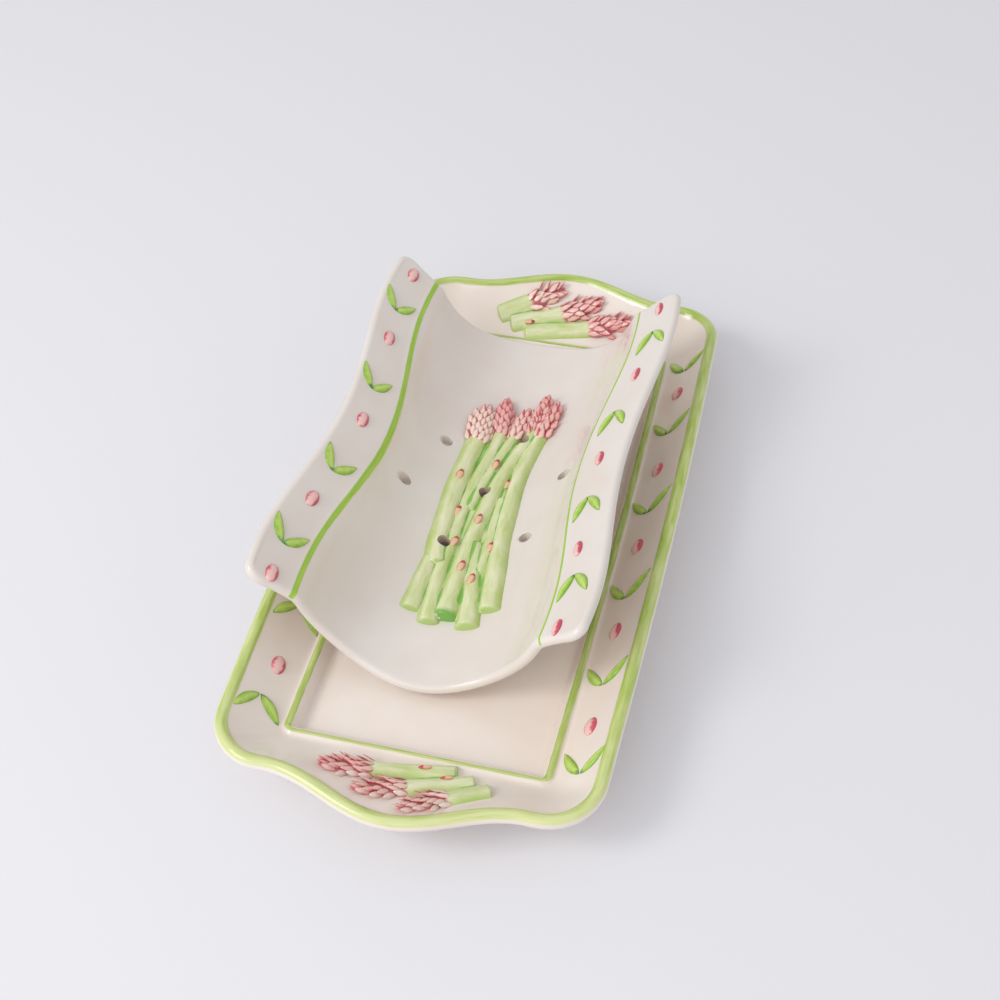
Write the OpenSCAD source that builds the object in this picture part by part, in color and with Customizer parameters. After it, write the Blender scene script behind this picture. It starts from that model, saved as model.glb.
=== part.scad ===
// Asparagus plate in glazed earthenware: an oblong platter, and a drainer that sits
// in its well and lifts out. Each is one slip-cast piece of clay, so the beads,
// the raised spears and the feet belong to the casting that carries them.
// The origin is the middle of the platter's foot, on the table. +X runs across the
// platter, +Y along it and +Z is up.

/* [Platter] */
// Width over the rim bead at the corners
platter_w = 172; // [164:1:184]
// Length over the rim bead beside the end lobes
platter_l = 336; // [326:1:352]
// Height of the rim bead's centre above the table at the corners
rim_h = 27.5; // [24:0.5:32]
// How much higher the rim is halfway along each side
side_rise = 6.5; // [0:0.5:9]
// How far each long side bows outward
side_bow = 2.5; // [0:0.5:5]
// Radius of the outer corners at the bead's centre
corner_r = 22; // [14:1:28]
// How far the lobe at each end stands out
lobe_out = 15; // [6:0.5:20]
// Width of the lobe where it leaves the end
lobe_w = 112; // [96:1:118]
// Diameter of the rim bead
bead_d = 6.5; // [5.5:0.25:8]
// Thickness of the platter's wall
platter_wall = 5; // [4:0.25:6]
// Height of the platter's foot ring
foot_h = 3; // [2:0.25:5]
// Width of the platter's foot ring
foot_w = 7; // [4:0.5:12]

/* [Well] */
// Width of the well between the centres of its bead
well_w = 117.5; // [112:0.5:122]
// Length of the well between the centres of its bead
well_l = 276; // [270:1:282]
// Radius of the well's corners at the bead's centre
well_r = 3.5; // [3:0.5:12]
// Outward bow of the well's long sides
well_bow = 1.5; // [0:0.25:3]
// Diameter of the bead round the well
well_bead_d = 5.2; // [4:0.2:6]
// Drop from the bead's centre to the well's floor
well_depth = 5; // [3.5:0.25:7]
// How far the well's wall leans in from the bead to the floor
well_lean = 6; // [4:0.5:9]
// Dip of the border between its two beads
border_dip = 1.2; // [0:0.2:2]

/* [Drainer] */
// Width over the corners
drainer_w = 151; // [144:1:156]
// Length over the tongues in the middle of the ends
drainer_l = 240; // [226:1:241]
// Thickness of the drainer's wall
drainer_wall = 5; // [4.5:0.25:6]
// Radius of the trough's floor
floor_r = 63; // [60:1:70]
// Radius where the floor turns up into the side
side_r = 51; // [46:1:53]
// Radius where the side turns out into the flap
flap_r = 12; // [9:1:16]
// Angle of the floor where the side begins
floor_turn = 26; // [23:1:28]
// Steepest angle of the side
side_turn = 70; // [64:1:72]
// Angle of the flap
flap_turn = 40; // [34:1:46]
// How far the long edges draw in halfway along
waist_in = 5.6; // [0:0.1:8]
// How much lower the long edges are halfway along
waist_dip = 6.5; // [0:0.1:10]
// How far the long edges swell out near the corners
corner_swell = 1.9; // [0:0.1:3]
// How far the tongue stands out past the root of the flaps
tongue_out = 7.6; // [3:0.1:11]
// Width of the tongue where it leaves the end
tongue_w = 103; // [90:1:110]
// How far the flaps' ends flare out again at the corners
flap_flare = 4.6; // [0:0.1:6]
// Radius of the drainer's corners
drainer_corner_r = 6; // [4:0.5:10]
// Height of the drainer's foot ring
drainer_foot_h = 4; // [3:0.25:6]
// Length of the drainer's foot ring
drainer_foot_l = 112; // [96:1:130]
// Width of the drainer's foot ring
drainer_foot_w = 40; // [37:0.5:42]
// Thickness of the drainer's foot ring
drainer_foot_wall = 5; // [4:0.25:6]

/* [Drain holes] */
// Diameter of a drain hole
hole_d = 6; // [5:0.25:8]
// Radius of the ring of holes round the middle one
hole_ring_r = 39; // [37:0.5:41]
// Holes in the ring
hole_count = 6; // [3:1:6]
// Turn of the ring of holes
hole_turn = 15; // [10:1:18]

/* [Spears] */
// Width between the outermost spears of the drainer's bunch
bunch_w = 50; // [42:0.5:54]
// Length of the bunch
bunch_l = 160; // [140:1:176]
// Sideways place of the bunch's middle
bunch_x = 5; // [0:0.5:6]
// Lengthways place of the bunch's middle
bunch_y = -7; // [-10:0.5:5]
// Diameter of a stalk in the bunch
spear_d = 10.5; // [9:0.25:11]
// Length of a spear's head in the bunch
head_l = 28; // [22:0.5:34]
// Diameter of a stalk on the platter's ends
end_spear_d = 9; // [7.5:0.25:10]
// Length of a spear's head on the platter's ends
end_head_l = 25; // [18:0.5:28]

/* [Place of the drainer] */
// How far the drainer sits to one side of the platter's middle
drainer_x = -9; // [-10:0.5:10]
// How far it sits towards the far end
drainer_y = 14.5; // [-14.5:0.5:14.5]
// Turn of the drainer about the vertical
drainer_a = -0.25; // [-1:0.25:1]
// Gap between the drainer's foot and the well's floor
rest_gap = 0.3; // [0.1:0.05:1]

/* [Hidden] */

// Points along one quarter of each of the platter's loops
side_steps = 9;
corner_steps = 5;
end_steps = 10;
// Steps round the beads
bead_steps = 7;
well_bead_steps = 4;
// Steps along the drainer, and in each stretch of its half profile
length_steps = 36;
floor_steps = 5;
turn_steps = 5;
flap_steps = 3;

// Where the round of a bead leaves the clay beside it, from straight out
bead_under_a = -110;
bead_over_a = 160;
well_bead_a = 20;

// Shares of the flap's width at which the drainer's profile has points
flap_shares = [0.3, 0.6, 0.8, 0.93, 1];
// Angles of the points that round the drainer's edges
edge_turns = [20, 55];
end_turns = [35, 70];

// Butt and tip of each spear, as shares of the bunch's width and length, with 1 for a head
bunch_shares = [
    [-0.2, -0.49, -0.44, 0.42, 1],
    [-0.06, -0.46, 0.24, 0.49, 1],
    [0.37, -0.43, 0.44, 0.46, 1],
    [-0.26, -0.07, -0.24, 0.47, 1],
    [-0.1, -0.09, 0.07, 0.44, 1],
    [0.21, -0.49, 0.02, -0.08, 0],
    [-0.44, -0.45, -0.36, -0.28, 0]
];
// Butt and tip of each spear on an end, as shares of the lobe's width and of the border
end_spear_shares = [
    [-0.23, 0.22, 0.34, 0.61],
    [-0.3, 0.33, 0.17, 0.78],
    [-0.34, 0.47, -0.04, 0.84]
];
// Radius of a head along its length, both as shares: three tiers of scales and a point
head_shares = [[0, 0.8], [0.1, 1.15], [0.34, 1.28], [0.36, 1.1], [0.58, 1.12], [0.6, 0.92], [0.82, 0.7], [1, 0]];
// How far above the clay a spear's axis lies at its butt and at its tip
butt_lift_share = 0.2;
tip_lift_share = 0.5;

// How far a foot reaches into the clay above it
overrun = platter_wall / 5;
// The tightest corner that a loop round the well may have
least_r = well_r / 5;

bead_r = bead_d / 2;
well_bead_r = well_bead_d / 2;
floor_z = foot_h + platter_wall;
well_z = floor_z + well_depth;
rim_half_w = platter_w / 2 - bead_r;
rim_half_l = platter_l / 2 - bead_r;

edge_r = drainer_wall / 2;
sheet_half_w = drainer_w / 2 - edge_r * cos(flap_turn);
sheet_half_l = drainer_l / 2 - edge_r;
drainer_z = floor_z + rest_gap + drainer_foot_h + edge_r;

// A smooth hump from 1 in the middle to 0 at either side
function bump(q) = (1 + cos(180 * min(abs(q), 1))) / 2;

// A bow from 1 in the middle to 0 at either end
function arch(q) = cos(90 * min(abs(q), 1));

// Places along a quarter of a loop, from the middle of a long side to short of the middle of an end
function quarter(hw, hl, r, bow, lobe) = concat(
    [for (i = [0 : side_steps - 1]) let (q = i / side_steps) [hw + bow * arch(q), (hl - r) * q]],
    [for (i = [0 : corner_steps - 1]) let (a = 90 * i / corner_steps)
        [hw - r + r * cos(a), hl - r + r * sin(a)]],
    [for (i = [0 : end_steps - 1]) let (x = (hw - r) * (1 - i / end_steps))
        [x, hl + lobe * bump(2 * x / lobe_w)]]);

// A whole loop, the same at both ends and on both sides
function loop(hw, hl, r, bow, lobe) =
    let (q = quarter(hw, hl, r, bow, lobe), n = len(q),
        half = concat(q, [[0, hl + lobe]], [for (i = [n - 1 : -1 : 1]) [-q[i].x, q[i].y]]))
    concat(half, [for (p = half) -p]);

// Directions straight out from a loop
function outward(c) = [for (i = [0 : len(c) - 1])
    let (t = c[(i + 1) % len(c)] - c[(i + len(c) - 1) % len(c)]) [t.y, -t.x, 0] / norm(t)];

function rim_height(y) = rim_h + side_rise * arch(y / rim_half_l);

// The centre line of the rim bead, and of the well's bead grown by d
function rim_line() = [for (p = loop(rim_half_w, rim_half_l, corner_r, side_bow, lobe_out))
    [p.x, p.y, rim_height(p.y)]];
function well_loop(d) =
    loop(well_w / 2 + d, well_l / 2 + d, max(well_r + d, least_r), well_bow, 0);
function at_height(c, z) = [for (p = c) [p.x, p.y, z]];

// The ring of points at angle a round a bead
function round_bead(c, out, r, a) =
    [for (i = [0 : len(c) - 1]) c[i] + r * cos(a) * out[i] + [0, 0, r * sin(a)]];

// The ring at share f of the way from ring c to ring d, sunk by dip in between
function between(c, d, f, dip) =
    [for (i = [0 : len(c) - 1]) c[i] * (1 - f) + d[i] * f - [0, 0, dip * sin(180 * f)]];

function flip(f) = [f[0], f[2], f[1]];

// Triangles between loop k and the next of a stack of loops of n points
function skin(n, k) = [for (i = [0 : n - 1], f = [[0, n, n + 1], [0, n + 1, 1]])
    [for (j = f) k * n + floor(j / n) * n + (i + j % n) % n]];

// Closes a stack of loops with a flat cap at each end
module stacked(rings) {
    n = len(rings[0]);
    last = len(rings) - 1;
    polyhedron(
        points = [for (r = rings) each r],
        faces = concat(
            [for (k = [0 : last - 1]) each skin(n, k)],
            [[for (i = [0 : n - 1]) i]],
            [[for (i = [n - 1 : -1 : 0]) last * n + i]]));
}

// Closes a stack of thin loops, whose ends are strips between their upper and lower points
module stacked_sheet(rings) {
    n = len(rings[0]);
    last = (len(rings) - 1) * n;
    strip = [for (i = [0 : n / 2 - 2], f = [[i, i + 1, n - 2 - i], [i, n - 2 - i, n - 1 - i]]) f];
    polyhedron(
        points = [for (r = rings) each r],
        faces = concat(
            [for (k = [0 : len(rings) - 2]) each skin(n, k)],
            strip,
            [for (f = strip) [for (j = flip(f)) last + j]]));
}

// A spear from its cut butt at the start to its tip at the end, a stalk alone without a head
module spear(start, end, d, head) {
    way = end - start;
    stalk = norm(way) - head;
    tip = head > 0 ? [for (s = head_shares) [d / 2 * s[1], stalk + head * s[0]]] : [[0, stalk]];
    translate(start)
        rotate([asin(way.z / norm(way)), 0, atan2(-way.x, way.y)])
            rotate([-90, 0, 0])
                rotate_extrude($fn = 48)
                    polygon(concat([[0, 0], [d / 2, 0], [d / 2 * head_shares[0][1], stalk]], tip));
}

// Height of the platter's end border at x and share f of the way from the well to the rim
function border_place(x, f) =
    let (near_z = well_z + well_bead_r * sin(well_bead_a),
        far_z = rim_h + bead_r * sin(bead_over_a),
        rim_y = rim_half_l + lobe_out * bump(2 * x / lobe_w))
    [x, well_l / 2 * (1 - f) + rim_y * f, near_z * (1 - f) + far_z * f];

module end_spears() {
    for (s = end_spear_shares)
        spear(
            border_place(s[0] * lobe_w, s[1]) + [0, 0, butt_lift_share * end_spear_d / 2],
            border_place(s[2] * lobe_w, s[3]) + [0, 0, tip_lift_share * end_spear_d / 2],
            end_spear_d, end_head_l);
}

// The platter's wall: under the floor, out below the border, round the rim bead,
// in over the border, round the well's bead and down to the well's floor
module platter_shell() {
    rim = rim_line();
    rim_out = outward(rim);
    well = at_height(well_loop(0), well_z);
    well_out = outward(well);
    under_floor = at_height(well_loop(-well_lean), foot_h);
    under_well = at_height(well_loop(0), well_z - platter_wall);
    under_rim = round_bead(rim, rim_out, bead_r, bead_under_a);
    over_rim = round_bead(rim, rim_out, bead_r, bead_over_a);
    over_well = round_bead(well, well_out, well_bead_r, well_bead_a);
    stacked(concat(
        [under_floor, under_well, between(under_well, under_rim, 1 / 2, border_dip)],
        [for (i = [0 : bead_steps])
            round_bead(rim, rim_out, bead_r, bead_under_a + (bead_over_a - bead_under_a) * i / bead_steps)],
        [for (f = [1 / 4, 1 / 2, 3 / 4]) between(over_rim, over_well, f, border_dip)],
        [for (i = [0 : well_bead_steps])
            round_bead(well, well_out, well_bead_r, well_bead_a + (180 - 2 * well_bead_a) * i / well_bead_steps)],
        [at_height(well_loop(-well_lean * 0.75), floor_z + well_depth * 0.25)],
        [at_height(well_loop(-well_lean), floor_z)]));
}

module platter_foot() {
    linear_extrude(foot_h + overrun)
        difference() {
            polygon(well_loop(-well_lean - foot_w / 2));
            polygon(well_loop(-well_lean - foot_w * 3 / 2));
        }
}

module platter() {
    color("#e6e0d4") {
        platter_shell();
        platter_foot();
        end_spears();
        rotate(180) end_spears();
    }
}

// Points along an arc of the profile: [across, up, slope], from point p at slope a to slope b
function profile_arc(p, r, a, b, steps) =
    let (way = sign(b - a))
    [for (i = [1 : steps]) let (c = a + (b - a) * i / steps)
        [p.x + way * r * (sin(c) - sin(a)), p.y + way * r * (cos(a) - cos(c)), c]];

// The right half of the trough's section: floor, side, turn and straight flap
function half_profile() =
    let (floor_line = profile_arc([0, 0], floor_r, 0, floor_turn, floor_steps),
        side_line = profile_arc(floor_line[floor_steps - 1], side_r, floor_turn, side_turn, turn_steps),
        turn_line = profile_arc(side_line[turn_steps - 1], flap_r, side_turn, flap_turn, flap_steps),
        root = turn_line[flap_steps - 1],
        flap = sheet_half_w - root.x)
    concat(floor_line, side_line, turn_line,
        [for (q = flap_shares) [root.x + flap * q, root.y + flap * q * tan(flap_turn), flap_turn]]);

function whole_profile() =
    let (h = half_profile(), n = len(h))
    concat([for (i = [n - 1 : -1 : 0]) [-h[i].x, h[i].y, -h[i].z]], [[0, 0, 0]], h);

// How far the end at x falls short of the middle of the tongue
function end_setback(x) =
    let (past = max(0, (x - tongue_w / 2) / (sheet_half_w - tongue_w / 2)),
        turn = max(0, x - (sheet_half_w - drainer_corner_r)))
    tongue_out * (1 - bump(2 * x / tongue_w)) - flap_flare * past * past
        + drainer_corner_r - sqrt(max(0, drainer_corner_r * drainer_corner_r - turn * turn));

// A place on the middle of the sheet: profile point p at share t of the half length
function sheet_place(p, t, edge_z) =
    [p.x * (1 - (waist_in * bump(t) - corner_swell * sin(180 * t * t)) / sheet_half_w),
        t * (sheet_half_l - end_setback(abs(p.x))),
        p.y * (1 - waist_dip * bump(t) / edge_z)];

// The loop round the sheet's section at share t, thinned to round the ends by turn b
function sheet_section(profile, t, b) =
    let (last = len(profile) - 1,
        edge_z = profile[last].y,
        r = edge_r * cos(b),
        shift = [0, sign(t) * edge_r * sin(b), 0],
        mid = [for (p = profile) sheet_place(p, t, edge_z) + shift],
        up = [for (p = profile) r * [-sin(p.z), 0, cos(p.z)]],
        along = [for (p = profile) r * [cos(p.z), 0, sin(p.z)]],
        side = [1, -1])
    concat(
        [for (a = edge_turns) mid[0] - cos(a) * along[0] + sin(a) * up[0]],
        [for (i = [0 : last]) mid[i] + up[i]],
        [for (i = [len(edge_turns) - 1 : -1 : 0]) let (a = edge_turns[i])
            mid[last] + cos(a) * along[last] + sin(a) * up[last]],
        [for (a = edge_turns) mid[last] + cos(a) * along[last] - sin(a) * up[last]],
        [for (i = [last : -1 : 0]) mid[i] - up[i]],
        [for (i = [len(edge_turns) - 1 : -1 : 0]) let (a = edge_turns[i])
            mid[0] - cos(a) * along[0] - sin(a) * up[0]]);

// The trough's wall, in its own place with the middle of its floor at the origin
module drainer_shell() {
    profile = whole_profile();
    stacked_sheet(concat(
        [for (i = [len(end_turns) - 1 : -1 : 0]) sheet_section(profile, -1, end_turns[i])],
        [for (i = [0 : length_steps]) sheet_section(profile, 2 * i / length_steps - 1, 0)],
        [for (b = end_turns) sheet_section(profile, 1, b)]));
}

module stadium(l, w) {
    square([w, l - w], center = true);
    for (y = [-1, 1])
        translate([0, y * (l - w) / 2]) circle(d = w, $fn = 64);
}

module drainer_foot() {
    translate([0, 0, -edge_r - drainer_foot_h])
        linear_extrude(drainer_foot_h + edge_r + overrun)
            difference() {
                stadium(drainer_foot_l, drainer_foot_w);
                stadium(drainer_foot_l - 2 * drainer_foot_wall, drainer_foot_w - 2 * drainer_foot_wall);
            }
}

// A place on the trough's floor, as shares of the bunch, lifted off the clay
function bunch_place(q, lift) =
    let (x = bunch_x + q[0] * bunch_w)
    [x, bunch_y + q[1] * bunch_l, floor_r - sqrt(floor_r * floor_r - x * x) + edge_r + lift];

module bunch() {
    for (s = bunch_shares)
        spear(
            bunch_place([s[0], s[1]], butt_lift_share * spear_d / 2),
            bunch_place([s[2], s[3]], tip_lift_share * spear_d / 2 * s[4]),
            spear_d, head_l * s[4]);
}

module drain_holes() {
    places = concat([[0, 0]],
        [for (i = [0 : hole_count - 1]) let (a = hole_turn + 360 * i / hole_count)
            hole_ring_r * [cos(a), sin(a)]]);
    for (p = places)
        translate([p.x, p.y, -drainer_foot_h])
            cylinder(d = hole_d, h = drainer_foot_h + spear_d + side_r / 2, $fn = 48);
}

module drainer() {
    color("#ebe6dc")
        translate([drainer_x, drainer_y, drainer_z])
            rotate(drainer_a)
                difference() {
                    union() {
                        drainer_shell();
                        drainer_foot();
                        bunch();
                    }
                    drain_holes();
                }
}

platter();
drainer();
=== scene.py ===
import bmesh
import bpy
import numpy as np
from mathutils import Matrix, Vector


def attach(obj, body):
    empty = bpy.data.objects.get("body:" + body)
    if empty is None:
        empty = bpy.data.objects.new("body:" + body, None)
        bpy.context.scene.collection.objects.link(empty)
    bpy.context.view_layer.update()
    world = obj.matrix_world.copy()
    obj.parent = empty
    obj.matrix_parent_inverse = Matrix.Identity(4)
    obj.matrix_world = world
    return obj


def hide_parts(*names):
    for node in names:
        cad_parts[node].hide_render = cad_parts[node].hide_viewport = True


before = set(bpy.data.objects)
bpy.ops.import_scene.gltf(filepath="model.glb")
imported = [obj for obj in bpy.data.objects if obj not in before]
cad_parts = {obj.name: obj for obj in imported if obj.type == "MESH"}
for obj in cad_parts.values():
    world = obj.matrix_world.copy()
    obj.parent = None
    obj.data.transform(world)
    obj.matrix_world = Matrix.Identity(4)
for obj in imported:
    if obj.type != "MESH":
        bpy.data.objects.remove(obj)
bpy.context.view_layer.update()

# The camera stands off the near end, a little to the right, and looks down on the
# plate. Its place and lens were fitted to the lines of the platter's two beads.
camera_mm = (142.1, -475.1, 551.3)
camera_azimuth, camera_elevation, camera_roll = np.radians((16.34, 46.33, 2.53))
focal_share = 1.48975      # focal length as a share of the picture's width
sensor_mm = 36.0


def in_scene(name, data):
    """A new object with the data, linked to the scene."""
    holder = bpy.data.objects.new(name, data)
    bpy.context.collection.objects.link(holder)
    return holder


camera = in_scene("camera", bpy.data.cameras.new("camera"))
camera.data.sensor_width = sensor_mm
camera.data.lens = focal_share * sensor_mm
ahead = Vector((-np.sin(camera_azimuth) * np.cos(camera_elevation),
                np.cos(camera_azimuth) * np.cos(camera_elevation),
                -np.sin(camera_elevation)))
turned = ahead.to_track_quat("-Z", "Y").to_matrix() @ Matrix.Rotation(-camera_roll, 3, "Z")
camera.matrix_world = Matrix.LocRotScale(Vector(camera_mm) / 1000, turned, None)
bpy.context.scene.camera = camera

# The platter is one slip-cast piece of earthenware: a well, a sloping border with lobed
# ends, a bead round the rim and one round the well, and a foot ring. The beads are brushed
# green under a clear glossy glaze.
PLATTER = dict(w=172.0, l=336.0, rim_h=27.5, side_rise=6.5, side_bow=2.5, corner_r=22.0,
               lobe_out=15.0, lobe_w=112.0, bead_d=6.5, wall=5.0, foot_h=3.0, foot_w=7.0)
WELL = dict(w=117.5, l=276.0, r=3.5, bow=1.5, bead_d=5.2, depth=5.0, lean=6.0, dip=1.2)
BEAD_UNDER, BEAD_OVER, WELL_BEAD_OUT = np.radians((-110.0, 160.0, 20.0))
FOOT_R, FOOT_CUT, BARE_UNDER = 1.0, 0.4, 0.3      # how the foot's edges are rounded and wiped
SIDE_STEPS, CORNER_STEPS, END_STEPS = 70, 16, 32      # steps in a quarter of each loop
RIM_STEPS, WELL_STEPS = 26, 12      # steps round each bead
UNDER_SHARES, FLOOR_SHARES = (0.02, 0.4, 0.8), (0.8, 0.6, 0.4, 0.2, 0.02)      # rings near the middle
WELL_PAINT_SIDE, WELL_PAINT_END = 1.8, 0.9      # half widths of the painted line
RIM_PAINT_OFF = 0.25      # how far in from the crown the rim's paint is centred
RIM_PAINT = dict(half_width=3.4, soft=0.7, ragged=0.8)
LINE_PAINT = dict(half_width=1.0, soft=0.2, ragged=0.5)      # in shares of the line's own
RIM_BRUSH, WELL_BRUSH, DRAINER_BRUSH = 3.7, 1.2, 1.0      # how wide the streaks spread
PALER_FROM, PALER_OVER = 110.0, 50.0      # the beads' green grows paler towards the near end
STREAK_MM, CREAM_MM, RIPPLE_MM = 20.0, 45.0, 14.0      # sizes of the brush's and glaze's waves
BISCUIT = "#D9C9B2"      # bare fired clay where the glaze is wiped off a foot
FLOOR_Z = PLATTER["foot_h"] + PLATTER["wall"]
WELL_Z = FLOOR_Z + WELL["depth"]
RIM_HALF_W = (PLATTER["w"] - PLATTER["bead_d"]) / 2
RIM_HALF_L = (PLATTER["l"] - PLATTER["bead_d"]) / 2
# From the middle of each bead, out and up, to where the border meets it.
WELL_EDGE_OUT, WELL_EDGE_UP = (WELL["bead_d"] / 2 * part(WELL_BEAD_OUT) for part in (np.cos, np.sin))
RIM_EDGE_OUT, RIM_EDGE_UP = (PLATTER["bead_d"] / 2 * part(BEAD_OVER) for part in (np.cos, np.sin))


def hump(q):
    """(1 + cos(pi q)) / 2, a smooth hump from 1 at q = 0 to 0 at q = 1 and past it."""
    return (1 + np.cos(np.pi * np.clip(np.abs(q), 0, 1))) / 2


def bow(q):
    """cos(pi q / 2), a bow from 1 at q = 0 to 0 at q = 1 and past it."""
    return np.cos(np.pi / 2 * np.clip(np.abs(q), 0, 1))


def closed_loop(half_w, half_l, r, side_bow, lobe):
    """A quarter runs up a bowed side, round a corner arc and along an end that swells by
    a hump; mirrored across and then turned by half a turn, it closes the loop."""
    side_q = np.arange(SIDE_STEPS) / SIDE_STEPS
    turn = np.pi / 2 * np.arange(CORNER_STEPS) / CORNER_STEPS
    end_x = (half_w - r) * (1 - np.arange(END_STEPS) / END_STEPS)
    quarter = np.concatenate([
        np.stack([half_w + side_bow * bow(side_q), (half_l - r) * side_q], -1),
        np.stack([half_w - r + r * np.cos(turn), half_l - r + r * np.sin(turn)], -1),
        np.stack([end_x, half_l + lobe * hump(2 * end_x / PLATTER["lobe_w"])], -1)])
    half = np.concatenate([quarter, [[0, half_l + lobe]], quarter[:0:-1] * (-1, 1)])
    return np.concatenate([half, -half])


def at_height(line, z):
    """The plan line with the height z added to every point."""
    return np.concatenate([line, np.broadcast_to(z, len(line))[:, None]], -1)


def outward(line):
    """The tangent through each point's neighbours, turned a quarter turn out in plan."""
    along = np.roll(line, -1, 0) - np.roll(line, 1, 0)
    out = np.stack([along[:, 1], -along[:, 0], 0 * along[:, 0]], -1)
    return out / np.linalg.norm(out, axis=1)[:, None]


def bead_rings(line, out, r, first, last, steps):
    """Rings at radius r round the line, at angles from first to last off straight out."""
    turn = np.linspace(first, last, steps + 1)[:, None, None]
    return line + r * (np.cos(turn) * out + np.sin(turn) * np.array([0, 0, 1.0]))


def rings_between(start, end, steps, dip=0.0):
    """Straight steps from ring start to ring end, both left out, sunk by dip sin(pi f)."""
    f = (np.arange(1, steps) / steps)[:, None, None]
    return start * (1 - f) + end * f - dip * np.sin(np.pi * f) * np.array([0, 0, 1.0])


def well_line(grow, z):
    """The well's bead line grown by a distance in plan, at height z."""
    return at_height(closed_loop(WELL["w"] / 2 + grow, WELL["l"] / 2 + grow,
                                 max(WELL["r"] + grow, WELL["r"] / 5), WELL["bow"], 0), z)


def relaxed(rings, passes):
    """Each ring moved to (before + 2 itself + after) / 4, again and again, which rounds
    the creases of the section as a glaze does. The first and last rings stay."""
    for _ in range(passes):
        rings[1:-1] = (rings[:-2] + 2 * rings[1:-1] + rings[2:]) / 4
    return rings


def grid_faces(rows, cols, wrap):
    """Quads between neighbours of a rows by cols grid, closed round the columns or not."""
    r, c = np.meshgrid(np.arange(rows - 1), np.arange(cols if wrap else cols - 1), indexing="ij")
    after = (c + 1) % cols
    quads = np.stack([r * cols + c, r * cols + after, (r + 1) * cols + after, (r + 1) * cols + c], -1)
    return quads.reshape(-1, 4)


def clay_piece(name, solid, glaze, body):
    """A glazed piece from a solid: points in mm, faces, and measures that are kept as
    attributes of the points. Its seams and poles are closed and its faces turned out. It
    rides the body and, with the body's other pieces, stands for the node of that name."""
    points_mm, faces, measures = solid
    mesh = bpy.data.meshes.new(name)
    mesh.from_pydata((np.asarray(points_mm) / 1000).tolist(), [], [list(face) for face in faces])
    for key, values in measures.items():
        mesh.attributes.new(key, "FLOAT", "POINT").data.foreach_set(
            "value", np.asarray(values, np.float32).ravel())
    shell = bmesh.new()
    shell.from_mesh(mesh)
    bmesh.ops.remove_doubles(shell, verts=shell.verts, dist=1e-6)
    bmesh.ops.dissolve_degenerate(shell, edges=shell.edges, dist=1e-7)
    bmesh.ops.recalc_face_normals(shell, faces=shell.faces)
    shell.to_mesh(mesh)
    shell.free()
    mesh.shade_smooth()
    mesh.materials.append(glaze)
    piece = in_scene(name, mesh)
    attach(piece, body)
    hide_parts(body)
    return piece


def paint(colour):
    """An sRGB hex colour as linear light: ((c + 0.055) / 1.055) ^ 2.4, or c / 12.92. A
    colour that comes from a node is passed on."""
    if not isinstance(colour, str):
        return colour
    c = np.array([int(colour[i:i + 2], 16) for i in (1, 3, 5)]) / 255
    return (*np.where(c > 0.04045, ((c + 0.055) / 1.055) ** 2.4, c / 12.92), 1.0)


def add_node(tree, kind, links=(), out=0, **settings):
    """A node of the kind, with its properties set and its inputs set or linked in order
    or by name. Returns one of its outputs."""
    node = tree.nodes.new("ShaderNode" + kind)
    for key, value in settings.items():
        setattr(node, key, value)
    for socket, source in links.items() if isinstance(links, dict) else enumerate(links):
        if hasattr(source, "is_output"):
            tree.links.new(source, node.inputs[socket])
        else:
            node.inputs[socket].default_value = source
    return node.outputs[out]


def brushed(tree, place, scale, low, high, pale, deep, detail=4.0):
    """Paint laid on by a brush: noise at the place, scaled in strokes per mm, runs the
    colour from pale where it is thin to deep where it gathers."""
    stretched = add_node(tree, "Mapping", {"Vector": place, "Scale": scale})
    noise = add_node(tree, "TexNoise",
                     {"Vector": stretched, "Scale": 1.0, "Detail": detail, "Roughness": 0.6})
    return coated(tree, pale, (add_node(tree, "MapRange", (noise, low, high)), deep))


def coated(tree, base, *coats):
    """The base colour under coats of paint. Each coat is a share and a colour, and hides
    what is under it where its share is 1."""
    for share, colour in coats:
        base = add_node(tree, "Mix", {0: share, 6: paint(base), 7: paint(colour)}, out=2, data_type="RGBA")
    return base


def band(tree, distance, place, half_width, soft, ragged):
    """1 within half_width of a line and 0 outside it, with a soft edge that wanders by the
    ragged distance as a brush does."""
    wander = add_node(tree, "TexNoise", {"Vector": place, "Scale": 0.12, "Detail": 3.0})
    size = add_node(tree, "Math", (distance,), operation="ABSOLUTE")
    moved = add_node(tree, "Math", (wander, ragged, size), operation="MULTIPLY_ADD")
    edge = half_width + ragged / 2
    return add_node(tree, "MapRange", (moved, edge - soft, edge + soft, 1.0, 0.0),
                    interpolation_type="SMOOTHSTEP")


def glazed(name, body_colour, *marks):
    """Slip-cast earthenware under a clear glossy lead-free glaze: near mirror smooth, IOR
    of glass, with the slow ripple that a poured glaze keeps. The body's colour comes from
    the place in mm and from the marks of the mesh."""
    material = bpy.data.materials.new(name)
    material.use_nodes = True
    tree = material.node_tree
    shader = tree.nodes["Principled BSDF"]
    shader.inputs["Roughness"].default_value = 0.12
    shader.inputs["IOR"].default_value = 1.5
    place = add_node(tree, "TexCoord", out="Object")
    in_mm = add_node(tree, "VectorMath", {0: place, "Scale": 1000.0}, operation="SCALE")
    ripple = add_node(tree, "TexNoise", {"Vector": in_mm, "Scale": 1 / RIPPLE_MM, "Detail": 1.5})
    bump = add_node(tree, "Bump", {"Height": ripple, "Strength": 0.35, "Distance": 0.0006})
    tree.links.new(bump, shader.inputs["Normal"])
    on_mesh = [add_node(tree, "Attribute", out="Fac", attribute_name=mark) for mark in marks]
    tree.links.new(body_colour(tree, in_mm, *on_mesh), shader.inputs["Base Color"])
    return material


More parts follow.
